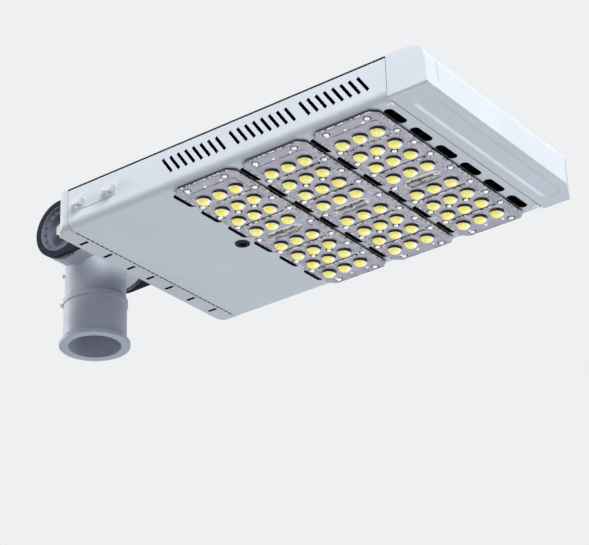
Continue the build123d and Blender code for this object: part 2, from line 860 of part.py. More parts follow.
with BuildPart() as terminal_block:
    terminal_top = plate_top + terminal_height
    add(block(terminal_start, terminal_end, terminal_near, terminal_far, plate_top, terminal_top))
    chamfer(edges().group_by(Axis.Z)[-1].filter_by(Axis.Y), 2 * inner_edge)
    with BuildSketch(level(terminal_top)):
        with Locations(((terminal_start + terminal_end) / 2, (terminal_near + terminal_far) / 2)):
            with GridLocations(0, terminal_width / terminal_ways, 1, terminal_ways):
                Rectangle(terminal_hole, terminal_hole)
    extrude(amount=-terminal_height / 2, mode=Mode.SUBTRACT)
save(terminal_block.part, "terminal_block")

# Rubber plug in the service hole
with BuildPart() as service_plug:
    plug_spot = spot(bulkhead_x - plug_setback, plug_across, -plug_rise, (0, 0, 1))
    for radius, height in ((plug_rim, plug_rise), (plug_hole, wall), (plug_lip, plug_rise)):
        with BuildSketch(plug_spot):
            Circle(radius)
        extrude(amount=height)
        plug_spot = plug_spot.offset(height)
    with BuildSketch(plug_spot.offset(-wall - 2 * plug_rise)):
        Circle(plug_dimple)
    extrude(amount=plug_dimple_depth, mode=Mode.SUBTRACT)
save(service_plug.part, "service_plug")
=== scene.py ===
"""Looks of the LED street light head, in metres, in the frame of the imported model."""

from math import cos, pi, radians, sin

import bmesh
import bpy
from mathutils import Matrix, Vector


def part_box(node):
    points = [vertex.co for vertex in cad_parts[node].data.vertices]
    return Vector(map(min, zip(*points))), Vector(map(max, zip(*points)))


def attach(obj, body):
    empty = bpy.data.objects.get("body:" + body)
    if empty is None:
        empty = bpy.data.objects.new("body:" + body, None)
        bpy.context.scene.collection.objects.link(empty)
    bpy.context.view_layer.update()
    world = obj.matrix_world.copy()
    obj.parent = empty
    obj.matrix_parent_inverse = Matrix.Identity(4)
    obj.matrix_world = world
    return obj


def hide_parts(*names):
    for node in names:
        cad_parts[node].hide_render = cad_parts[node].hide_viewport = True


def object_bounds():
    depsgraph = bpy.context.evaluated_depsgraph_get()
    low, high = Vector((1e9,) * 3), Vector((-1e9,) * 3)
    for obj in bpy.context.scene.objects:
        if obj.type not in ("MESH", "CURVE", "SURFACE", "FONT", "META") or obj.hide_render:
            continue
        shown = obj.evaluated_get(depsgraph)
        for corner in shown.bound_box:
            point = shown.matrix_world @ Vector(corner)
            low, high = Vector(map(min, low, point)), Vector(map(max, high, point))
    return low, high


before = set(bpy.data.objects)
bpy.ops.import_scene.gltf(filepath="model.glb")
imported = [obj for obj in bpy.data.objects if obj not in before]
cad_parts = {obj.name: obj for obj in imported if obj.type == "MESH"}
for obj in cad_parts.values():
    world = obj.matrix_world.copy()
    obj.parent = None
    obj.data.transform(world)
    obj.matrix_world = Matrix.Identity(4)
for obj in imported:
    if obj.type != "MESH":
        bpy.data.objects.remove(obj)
cad_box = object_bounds()
MM = 0.001

# Datum of the head: rear seam, middle and underside of the housing, as places in the frame
SEAM_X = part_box("housing_tray")[0][0]
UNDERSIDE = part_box("housing_tray")[0][2]

# Sizes of the housing in millimetres: length and height to its outside, half width and lower bend
LENGTH = (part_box("housing_tray")[1][0] - SEAM_X) / MM
COVER_TOP = (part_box("top_cover")[1][2] - UNDERSIDE) / MM
HALF_WIDTH = 150.0
BEND = 9.0

# Lens modules, in millimetres from the middle of each lens plate. A bar is (offset, width), a slot is
# (offset, length, width), and the other pairs are places.
MODULES = ("rear", "middle", "front")
GASKET = 1.2
RIM = 3.0
CORNER = 8.0
FIELD_LENGTH, FIELD_WIDTH, FIELD_RISE = 63.0, 258.0, 1.0
FIELD_CORNER = 5.0
DOME_PITCH = 21.5
DOME_ROWS = (22.2, 53.4, 81.6, 112.4)
RIB_ROWS = (38.0, 97.0)
RIB_LENGTH, RIB_WIDTH, RIB_HEIGHT = 58.0, 2.6, 1.3
SPINE_LENGTH, SPINE_WIDTH, SPINE_HEIGHT = 44.0, 14.0, 2.4
SPINE_SLOT = (10.0, 15.0, 3.6)
SPINE_BAR = (4.7, 2.2)
EDGE_SCREWS = ((25.0, 136.0), (35.0, 98.0), (35.0, 68.0), (35.0, 38.0))
SCREW_RADIUS, SCREW_HEIGHT = 3.0, 1.4
BUMPS = (DOME_PITCH / 2, (DOME_ROWS[1] + DOME_ROWS[2]) / 2)
PIPS = ((-26.0, 132.0), (-4.5, 132.0), (17.0, 132.0))
PLATE_FACE = -GASKET - RIM


def xyz(x, y, z):
    """A place on the head in millimetres from its datum, as a point in the frame."""
    return Vector((SEAM_X + x * MM, y * MM, UNDERSIDE + z * MM))


# Paint of the domes, laid along a fixed slant: a painted highlight, a painted shade crescent and a painted
# glow.
# Its axes are the camera's, rounded, with the upright one stretched. The spots are round on the slant, in
# dome radii.
SLANT = "slant"
SLANT_RIGHT = Vector((0.8, 0.6, -0.03))
SLANT_UP = Vector((0.45, -0.525, 1.375))
HIGHLIGHT_SPOT = ((-0.17, -0.52), 0.76)
SHADE_SPOT = ((-0.05, -1.0), 1.21)
DOME_WOBBLE = 0.1
DOME_YELLOWS = (
    (0.30, (0.88, 0.75, 0.11)),
    (0.44, (0.96, 0.88, 0.18)),
    (0.57, (1.0, 0.95, 0.34)),
    (0.72, (1.0, 1.0, 0.75)),
)
DOME_HIGHLIGHT_TONES = ((0.38, (0.62, 0.61, 0.66)), (0.52, (0.98, 0.97, 0.96)))
DOME_SHADE_CRESCENT = (0.008, 0.008, 0.01)
DOME_PAINTED_GLOW = 0.28
# Painted glow of the pale bosses, bars and screws.
PALE_PAINTED_GLOW = 0.3

# Painted shade on the inner faces of the housing, in its seams and in the rear cap's slots: depth of the
# skin, seam and lip, and reach of the rear cap's slots
SKIN = 0.35
FAR = 1000.0
SEAM_DEPTH = 4.0
COVER_LIP = 0.3
SLOT_REACH, SLOT_TOP, SLOT_HALF_WIDTH = 18.0, 10.0, 140.0
HOUSING_SHADE_COLOUR = (0.006, 0.006, 0.007)


def shader(name, base, roughness=0.5, metallic=0.0, coat=0.0, coat_roughness=0.1):
    """A new material with a principled shader, and that shader's node and its tree."""
    material = bpy.data.materials.new(name)
    material.use_nodes = True
    tree = material.node_tree
    node = tree.nodes["Principled BSDF"]
    node.inputs["Base Color"].default_value = (*base, 1)
    node.inputs["Roughness"].default_value = roughness
    node.inputs["Metallic"].default_value = metallic
    node.inputs["Coat Weight"].default_value = coat
    node.inputs["Coat Roughness"].default_value = coat_roughness
    return material, node, tree


def noise(tree, scale, detail=4.0, roughness=0.5, stretch=(1, 1, 1)):
    """Noise over the object's own coordinates, in metres."""
    place = tree.nodes.new("ShaderNodeTexCoord")
    mapping = tree.nodes.new("ShaderNodeMapping")
    mapping.inputs["Scale"].default_value = stretch
    texture = tree.nodes.new("ShaderNodeTexNoise")
    texture.inputs["Scale"].default_value = scale
    texture.inputs["Detail"].default_value = detail
    texture.inputs["Roughness"].default_value = roughness
    tree.links.new(place.outputs["Object"], mapping.inputs["Vector"])
    tree.links.new(mapping.outputs["Vector"], texture.inputs["Vector"])
    return texture.outputs["Fac"]


def colour_ramp(tree, fac, tones):
    """The colour that a ramp of (position, colour) tones gives for a factor."""
    ramp = tree.nodes.new("ShaderNodeValToRGB")
    while len(ramp.color_ramp.elements) < len(tones):
        ramp.color_ramp.elements.new(0.5)
    for element, (position, colour) in zip(ramp.color_ramp.elements, tones):
        element.position = position
        element.color = (*colour, 1)
    tree.links.new(fac, ramp.inputs["Fac"])
    return ramp.outputs["Color"]


def vary(tree, fac, target, low, high, start=0.3, end=0.7):
    """Ramp from one colour to another by a factor, into a shader socket."""
    tree.links.new(colour_ramp(tree, fac, ((start, low), (end, high))), target)


def grey(value):
    """A grey as a colour."""
    return (value, value, value)


def vary_roughness(tree, node, fac, low, high):
    """Let a factor move a shader's roughness between two values."""
    vary(tree, fac, node.inputs["Roughness"], grey(low), grey(high))


def vary_tone(tree, node, fac, base, low, high):
    """Let a factor move a shader's base colour between two shares of it."""
    vary(tree, fac, node.inputs["Base Color"], [c * low for c in base], [min(1, c * high) for c in base])


def bump(tree, node, height, strength, distance, round_edges=0.0):
    """Bump from a height, with edges rounded in shading by a radius in metres."""
    relief = tree.nodes.new("ShaderNodeBump")
    relief.inputs["Strength"].default_value = strength
    relief.inputs["Distance"].default_value = distance
    tree.links.new(height, relief.inputs["Height"])
    if round_edges:
        bevel = tree.nodes.new("ShaderNodeBevel")
        bevel.samples = 4
        bevel.inputs["Radius"].default_value = round_edges
        tree.links.new(bevel.outputs["Normal"], relief.inputs["Normal"])
    tree.links.new(relief.outputs["Normal"], node.inputs["Normal"])


def math(tree, operation, first, second=None):
    """One sum on sockets or plain numbers."""
    node = tree.nodes.new("ShaderNodeMath")
    node.operation = operation
    for i, item in enumerate((first, second)):
        if isinstance(item, (int, float)):
            node.inputs[i].default_value = item
        elif item is not None:
            tree.links.new(item, node.inputs[i])
    return node.outputs["Value"]


def place_on_head(tree):
    """Object coordinates as millimetres along, across and up from the head's datum."""
    coordinates = tree.nodes.new("ShaderNodeTexCoord")
    parts = tree.nodes.new("ShaderNodeSeparateXYZ")
    tree.links.new(coordinates.outputs["Object"], parts.inputs["Vector"])
    x = math(tree, "MULTIPLY", math(tree, "SUBTRACT", parts.outputs["X"], SEAM_X), 1 / MM)
    y = math(tree, "MULTIPLY", parts.outputs["Y"], 1 / MM)
    z = math(tree, "MULTIPLY", math(tree, "SUBTRACT", parts.outputs["Z"], UNDERSIDE), 1 / MM)
    return x, y, z


def layer(tree, below, mask, colour):
    """A colour, or a socket's colour, laid over another where a mask is 1."""
    mix = tree.nodes.new("ShaderNodeMix")
    mix.data_type = "RGBA"
    tree.links.new(mask, mix.inputs["Factor"])
    tree.links.new(below, mix.inputs["A"])
    if isinstance(colour, tuple):
        mix.inputs["B"].default_value = (*colour, 1)
    else:
        tree.links.new(colour, mix.inputs["B"])
    return mix.outputs["Result"]


def inside_shell(tree, x, y, z, start, end):
    """1 where a point lies under the skin of the folded housing, between two places along it: the mask of the
    painted shade.
    """
    across = math(tree, "MAXIMUM", math(tree, "SUBTRACT", math(tree, "ABSOLUTE", y), HALF_WIDTH - BEND), 0.0)
    down = math(tree, "MAXIMUM", math(tree, "SUBTRACT", BEND, z), 0.0)
    squares = math(tree, "ADD", math(tree, "POWER", across, 2.0), math(tree, "POWER", down, 2.0))
    deep = math(tree, "LESS_THAN", math(tree, "SQRT", squares), BEND - SKIN)
    along = math(tree, "MULTIPLY", math(tree, "GREATER_THAN", x, start), math(tree, "LESS_THAN", x, end))
    return math(tree, "MULTIPLY", deep, along)


def shade_in_tray(tree, x, y, z):
    """Painted shade all through the folded tray, under its skin."""
    return inside_shell(tree, x, y, z, -FAR, FAR)


def shade_in_rear_cap(tree, x, y, z):
    """Painted shade in the seam and inside the drain slots of the cap's floor."""
    slots = math(tree, "GREATER_THAN", x, -SLOT_REACH)
    slots = math(tree, "MULTIPLY", slots, math(tree, "GREATER_THAN", z, SKIN))
    slots = math(tree, "MULTIPLY", slots, math(tree, "LESS_THAN", z, SLOT_TOP))
    slots = math(tree, "MULTIPLY", slots, math(tree, "LESS_THAN", math(tree, "ABSOLUTE", y), SLOT_HALF_WIDTH))
    return math(tree, "MAXIMUM", slots, inside_shell(tree, x, y, z, -SEAM_DEPTH, FAR))


def shade_in_front_cap(tree, x, y, z):
    """Painted shade as far as the front seam goes in."""
    return inside_shell(tree, x, y, z, -FAR, LENGTH + SEAM_DEPTH)


def shade_under_cover(tree, x, y, z):
    """Painted shade below the top cover's outer face."""
    return math(tree, "LESS_THAN", z, COVER_TOP - COVER_LIP)


def powder_coat(name, base, dark, grain=0.05, edge=0.0005):
    """Semi-matt powder coat: a fine orange peel, a slight unevenness of tone and painted shade on its inner
    faces.
    """
    material, node, tree = shader(name, base, 0.42, coat=0.15, coat_roughness=0.25)
    vary_tone(tree, node, noise(tree, 14.0, 3.0), base, 0.965, 1.02)
    vary_roughness(tree, node, noise(tree, 90.0, 2.0), 0.37, 0.48)
    bump(tree, node, noise(tree, 1300.0, 2.0), grain, 0.00012, edge)
    below = node.inputs["Base Color"].links[0].from_socket
    # Painted shade: near black laid over the inner faces, seams and slots.
    inner = dark(tree, *place_on_head(tree))
    tree.links.new(layer(tree, below, inner, HOUSING_SHADE_COLOUR), node.inputs["Base Color"])
    return material


def cast_coat(name, base, roughness=0.5, specular=0.5):
    """Powder coat over a sand-smooth casting, a little rougher and more uneven."""
    material, node, tree = shader(name, base, roughness, coat=0.1 * specular, coat_roughness=0.3)
    node.inputs["Specular IOR Level"].default_value = specular
    vary_tone(tree, node, noise(tree, 22.0, 5.0), base, 0.94, 1.03)
    vary_roughness(tree, node, noise(tree, 160.0, 3.0), roughness - 0.06, roughness + 0.08)
    bump(tree, node, noise(tree, 900.0, 4.0, 0.6), 0.12, 0.00018, 0.0008)
    return material


def stainless(name, base=(0.72, 0.73, 0.75), roughness=0.24, metallic=1.0):
    """Bright steel with fine turning marks."""
    material, node, tree = shader(name, base, roughness, metallic=metallic)
    vary_roughness(tree, node, noise(tree, 260.0, 5.0), roughness - 0.08, roughness + 0.12)
    bump(tree, node, noise(tree, 2200.0, 3.0, stretch=(1, 0.1, 1)), 0.15, 0.00008, 0.0003)
    return material


def rubber(name, base):
    """Matt moulded rubber."""
    material, node, tree = shader(name, base, 0.75)
    vary_roughness(tree, node, noise(tree, 300.0), 0.65, 0.85)
    bump(tree, node, noise(tree, 1500.0, 3.0), 0.2, 0.0001)
    return material


def sheet_metal(name, base, roughness=0.4):
    """Rolled or extruded metal with a faint lengthwise grain."""
    material, node, tree = shader(name, base, roughness, metallic=0.9)
    grain = noise(tree, 60.0, 4.0, stretch=(1, 30, 30))
    vary_roughness(tree, node, grain, roughness - 0.08, roughness + 0.1)
    bump(tree, node, grain, 0.08, 0.00006)
    return material


def plastic(name, base, roughness=0.45):
    """Moulded plastic with a fine spark texture."""
    material, node, tree = shader(name, base, roughness)
    vary_roughness(tree, node, noise(tree, 120.0), roughness - 0.05, roughness + 0.08)
    bump(tree, node, noise(tree, 1800.0, 2.0), 0.12, 0.00008)
    return material


def lens_plastic(name):
    """Clear moulding over a grey board: greyish, with glassy highlights and faint flow lines."""
    material, node, tree = shader(name, (0.53, 0.53, 0.64), 0.16, coat=1.0, coat_roughness=0.04)
    tone = noise(tree, 70.0, 6.0, 0.6)
    vary(tree, tone, node.inputs["Base Color"], (0.44, 0.435, 0.53), (0.62, 0.615, 0.74))
    bump(tree, node, noise(tree, 240.0, 3.0), 0.25, 0.0003, 0.0003)
    return material


def lens_edge(name):
    """Moulded edges and bars of the lens plate, with painted glints: their colour broken into white highlight
    and dark shade bits.
    """
    material, node, tree = shader(name, (0.6, 0.6, 0.65), 0.12, coat=1.0, coat_roughness=0.03)
    tone = noise(tree, 210.0, 4.0, 0.7)
    # Painted glints: noise breaks the colour into near black and near white.
    vary(tree, tone, node.inputs["Base Color"], (0.02, 0.02, 0.025), (0.95, 0.95, 0.98), 0.44, 0.56)
    bump(tree, node, noise(tree, 500.0, 2.0), 0.3, 0.0003, 0.0002)
    return material


def disc(tree, place, centre, radius):
    """1 outside a round spot on a dome's slant, in radii of the dome."""
    shift = tree.nodes.new("ShaderNodeVectorMath")
    shift.operation = "DISTANCE"
    tree.links.new(place, shift.inputs[0])
    shift.inputs[1].default_value = (*centre, 0)
    return math(tree, "GREATER_THAN", shift.outputs["Value"], radius)


def dome_glass(name):
    """Lens dome over its chip: yellow with a painted glow, a painted white highlight on one flank and a
    painted dark shade crescent at the foot.
    """
    material, node, tree = shader(name, (0.9, 0.8, 0.2), 0.14, coat=0.4, coat_roughness=0.03)
    node.inputs["Specular IOR Level"].default_value = 0.25
    slant = tree.nodes.new("ShaderNodeUVMap")
    slant.uv_map = SLANT
    here = tree.nodes.new("ShaderNodeTexCoord")
    wobble = tree.nodes.new("ShaderNodeTexNoise")
    wobble.inputs["Scale"].default_value = 260.0
    wobble.inputs["Detail"].default_value = 2.0
    tree.links.new(here.outputs["Object"], wobble.inputs["Vector"])
    wobbled = tree.nodes.new("ShaderNodeVectorMath")
    wobbled.operation = "MULTIPLY_ADD"
    tree.links.new(wobble.outputs["Color"], wobbled.inputs[0])
    wobbled.inputs[1].default_value = (DOME_WOBBLE, DOME_WOBBLE, 0)
    tree.links.new(slant.outputs["UV"], wobbled.inputs[2])
    place = wobbled.outputs["Vector"]
    yellow = colour_ramp(tree, noise(tree, 330.0, 3.0, 0.6), DOME_YELLOWS)
    painted_highlight = colour_ramp(tree, noise(tree, 420.0, 3.0), DOME_HIGHLIGHT_TONES)
    # Painted highlight on one flank, then a painted shade crescent at the foot, laid over the yellow.
    colour = layer(tree, yellow, disc(tree, place, *HIGHLIGHT_SPOT), painted_highlight)
    colour = layer(tree, colour, disc(tree, place, *SHADE_SPOT), DOME_SHADE_CRESCENT)
    tree.links.new(colour, node.inputs["Base Color"])
    # Painted glow: the dome's colours also shine as light of their own.
    tree.links.new(colour, node.inputs["Emission Color"])
    node.inputs["Emission Strength"].default_value = DOME_PAINTED_GLOW
    return material


def lens_white(name):
    """Bosses and bars of the lens plate, in white with a painted glow of their own."""
    material, node, tree = shader(name, (0.9, 0.9, 0.93), 0.15, coat=1.0, coat_roughness=0.04)
    tone = noise(tree, 380.0, 3.0)
    vary(tree, tone, node.inputs["Base Color"], (0.62, 0.62, 0.68), (0.97, 0.97, 0.99), 0.35, 0.5)
    # Painted glow: the white shines as light of its own.
    node.inputs["Emission Color"].default_value = (0.95, 0.95, 1.0, 1)
    node.inputs["Emission Strength"].default_value = PALE_PAINTED_GLOW
    return material


def shade_plastic(name):
    """Near black plastic of painted shade: on the lens plate's lower walls, beside its ribs, round its screws
    and bosses, in its spine's slots and along the rear seam.
    """
    material, node, tree = shader(name, (0.012, 0.012, 0.014), 0.15, coat=0.4, coat_roughness=0.05)
    vary_roughness(tree, node, noise(tree, 500.0), 0.12, 0.25)
    return material


def paint_node(material, *names):
    """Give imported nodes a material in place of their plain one."""
    for name in names:
        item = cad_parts[name]
        item.data.materials.clear()
        item.data.materials.append(material)


COAT = (0.64, 0.7, 0.785)
# The rear cap's coat is the housing's coat made a little darker and less blue.
REAR_CAP_COAT = (0.61, 0.655, 0.715)
housing_coat = powder_coat("housing_coat", COAT, shade_in_tray)
cover_coat = powder_coat("cover_coat", COAT, shade_under_cover)
rear_cap_coat = powder_coat("rear_cap_coat", REAR_CAP_COAT, shade_in_rear_cap, grain=0.04, edge=0.0008)
front_cap_coat = powder_coat("front_cap_coat", COAT, shade_in_front_cap, grain=0.04, edge=0.0008)
adaptor_coat = cast_coat("adaptor_coat", (0.44, 0.48, 0.575))
yoke_coat = cast_coat("yoke_coat", (0.014, 0.016, 0.03), 0.7, 0.15)
cup_coat = cast_coat("cup_coat", (0.15, 0.165, 0.215), 0.5, 0.3)
bolt_steel = stainless("bolt_steel")
bolt_bright = stainless("bolt_bright", (0.78, 0.79, 0.82), 0.3, 0.6)
plug_rubber = rubber("plug_rubber", (0.006, 0.006, 0.006))
gasket_rubber = rubber("gasket_rubber", (0.02, 0.02, 0.022))
# Near black heat sinks stand for painted shade inside the housing, seen through the vents.
sink_shade = sheet_metal("sink_shade", (0.02, 0.02, 0.022), 0.5)
inner_sheet = sheet_metal("inner_sheet", (0.16, 0.165, 0.17), 0.45)
frame_steel = sheet_metal("frame_steel", (0.30, 0.31, 0.33), 0.4)
board_mask = plastic("board_mask", (0.42, 0.42, 0.46), 0.4)
chip_yellow = plastic("chip_yellow", (0.9, 0.8, 0.25), 0.4)
driver_case = sheet_metal("driver_case", (0.35, 0.36, 0.38), 0.45)
black_plastic = plastic("black_plastic", (0.02, 0.02, 0.022))
pale_plastic = plastic("pale_plastic", (0.6, 0.6, 0.57))
screw_bright = plastic("screw_bright", (0.86, 0.87, 0.90), 0.25)
lens_clear = lens_plastic("lens_clear")
lens_glint = lens_edge("lens_glint")
lens_pale = lens_white("lens_pale")
dome_clear = dome_glass("dome_clear")
lens_shade = shade_plastic("lens_shade")

paint_node(housing_coat, "housing_tray")
paint_node(cover_coat, "top_cover")
paint_node(rear_cap_coat, "rear_end_cap")
paint_node(front_cap_coat, "front_end_cap")
paint_node(adaptor_coat, "pole_adaptor")
paint_node(yoke_coat, "yoke")
paint_node(cup_coat, "clamp_cup_left", "clamp_cup_right")
paint_node(bolt_bright, "side_bolts", "side_washers", "set_screws")
paint_node(bolt_steel, "side_nuts", "yoke_bolts", "yoke_nuts", "pivot_bolt", "pivot_nut", "pivot_washers")
paint_node(plug_rubber, "service_plug")
paint_node(inner_sheet, "bulkhead", "driver_plate")
paint_node(frame_steel, "mounting_frame")
paint_node(driver_case, "led_driver")
paint_node(black_plastic, "surge_protector")
paint_node(pale_plastic, "terminal_block")
for module in MODULES:
    paint_node(gasket_rubber, f"lens_gasket_{module}")
    paint_node(sink_shade, f"heat_sink_{module}")
    paint_node(board_mask, f"led_board_{module}")
    paint_node(chip_yellow, f"led_chips_{module}")


# Meshes
SHARP_ANGLE = 35.0


def new_piece(name, bm, materials):
    """Turn a bmesh into a piece that rides on the head."""
    mesh = bpy.data.meshes.new(name)
    bmesh.ops.recalc_face_normals(bm, faces=bm.faces)
    bm.to_mesh(mesh)
    bm.free()
    for material in materials:
        mesh.materials.append(material)
    piece = bpy.data.objects.new(name, mesh)
    bpy.context.scene.collection.objects.link(piece)
    mesh.shade_smooth()
    mesh.set_sharp_from_angle(angle=radians(SHARP_ANGLE))
    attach(piece, "head")
    return piece


def slab(bm, outline, base, top, bevel=0.0):
    """Closed slab over an outline on the head, from one height to another, its top edge bevelled."""
    low = [bm.verts.new(xyz(x, y, base)) for x, y in outline]
    face = bm.faces.new(low)
    grown = bmesh.ops.extrude_face_region(bm, geom=[face])
    high = [item for item in grown["geom"] if isinstance(item, bmesh.types.BMVert)]
    for vert in high:
        vert.co.z = UNDERSIDE + top * MM
    if bevel:
        rim = [e for e in bm.edges if e.verts[0] in high and e.verts[1] in high]
        bmesh.ops.bevel(bm, geom=rim, offset=bevel * MM, segments=2, profile=0.6, affect="EDGES")


def rectangle(x, y, length, width, corner=0.0, steps=4):
    """Outline of a rectangle, its corners rounded, or cut off where there is one step."""
    points = []
    for sx, sy, start in ((1, 1, 0), (-1, 1, 90), (-1, -1, 180), (1, -1, 270)):
        cx, cy = x + sx * (length / 2 - corner), y + sy * (width / 2 - corner)
        if not corner:
            points.append((cx, cy))
            continue
        for i in range(steps + 1):
            angle = radians(start + 90 * i / steps)
            points.append((cx + corner * cos(angle), cy + corner * sin(angle)))
    return points


def revolve(bm, centre, profile, steps, down=True):
    """Closed turned form about a vertical line; the profile is (radius, height) in millimetres."""
    x, y, z = centre
    sign = -1 if down else 1
    rings = []
    for radius, height in profile:
        if radius == 0:
            rings.append([bm.verts.new(xyz(x, y, z + sign * height))])
            continue
        rings.append([
            bm.verts.new(xyz(
                x + radius * cos(2 * pi * i / steps),
                y + radius * sin(2 * pi * i / steps),
                z + sign * height,
            ))
            for i in range(steps)
        ])
    faces = []
    for lower, upper in zip(rings, rings[1:]):
        for i in range(steps):
            j = (i + 1) % steps
            if len(upper) == 1:
                faces.append(bm.faces.new((lower[i], lower[j], upper[0])))
            elif len(lower) == 1:
                faces.append(bm.faces.new((lower[0], upper[j], upper[i])))
            else:
                faces.append(bm.faces.new((lower[i], lower[j], upper[j], upper[i])))
    for ring in (rings[0], rings[-1]):
        if len(ring) > 1:
            faces.append(bm.faces.new(ring))
    return faces


# Lens plates with ribs, spine and domes; a sink is how deep a raised form starts in what carries it
DOME_RADIUS, DOME_HEIGHT = 8.2, 6.6
DOME_PROFILE = (
    (1.0, 0.0), (0.985, 0.14), (0.95, 0.31), (0.88, 0.50), (0.77, 0.68),
    (0.60, 0.84), (0.38, 0.95), (0.16, 0.995), (0, 1.0),
)
DOME_STEPS, ROUND_STEPS, PIP_STEPS = 32, 14, 10
SINK, LOW_SINK = 0.2, 0.1
RIM_EDGE, EDGE_GAP = 1.3, 0.05
LIP_WIDTH, LIP_HEIGHT, LIP_INSET, LIP_SHORT = 0.9, 0.45, 1.6, 4.0
FIELD_LIP_HEIGHT, FIELD_LIP_INSET = 0.3, 1.0
# The dark strip beside each rib and the dark rings round screws and bosses are painted shade.
RIB_SHADOW, RIB_SHADOW_HEIGHT = 1.2, 0.2
SPINE_BAR_OVER, SPINE_BAR_HEIGHT, SPINE_SLOT_HEIGHT = 4.0, 0.6, 0.12
ROUND_SHORT = 0.1
SCREW_SHADE_RING = ((4.4, 0.0), (4.3, 0.18), (0, 0.18))
BUMP_SHADE_RING = ((4.4, 0.0), (4.2, 0.35), (0, 0.35))
BUMP_PROFILE = ((2.6, 0.0), (2.5, 1.2), (1.6, 1.6), (0, 1.6))
PIP_PROFILE = ((1.8, 0.0), (1.4, 0.8), (0, 1.0))
# Material slots of the lens plate; the dark one is painted shade, the glint one painted glints, the pale one
# has a painted glow.
CLEAR, DOME, SHADED, GLINT, PALE = range(5)


def dome(bm, slant, x, y, z):
    """One lens dome, with its shape in radii along a slant kept as coordinates for its material."""
    faces = revolve(bm, (x, y, z), [(r * DOME_RADIUS, h * DOME_HEIGHT) for r, h in DOME_PROFILE], DOME_STEPS)
    middle = xyz(x, y, z)
    for face in faces:
        face.material_index = DOME
        for loop in face.loops:
            place = (loop.vert.co - middle) / (DOME_RADIUS * MM)
            loop[slant].uv = (place.dot(SLANT_RIGHT), place.dot(SLANT_UP))


def raised(bm, outline, base, top, bevel, index):
    """A slab whose faces take one material of the plate."""
    before = len(bm.faces)
    slab(bm, outline, base, top, bevel)
    bm.faces.ensure_lookup_table()
    for face in bm.faces[before:]:
        face.material_index = index


def turned(bm, place, profile, steps, index):
    """A turned form whose faces take one material of the plate."""
    for face in revolve(bm, place, profile, steps):
        face.material_index = index


def plate_middle(module):
    """Place of the middle of a module's lens plate along the head."""
    low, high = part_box(f"lens_{module}")
    return ((low[0] + high[0]) / 2 - SEAM_X) / MM


def screw_places(x):
    """Places of the screws round the edge of the lens plate whose middle is at x."""
    sides = [(sx * a, sy * b) for a, b in EDGE_SCREWS for sx in (-1, 1) for sy in (-1, 1)]
    middle = [(sx * EDGE_SCREWS[-1][0], 0) for sx in (-1, 1)]
    return [(x + a, b, PLATE_FACE) for a, b in sides + middle]


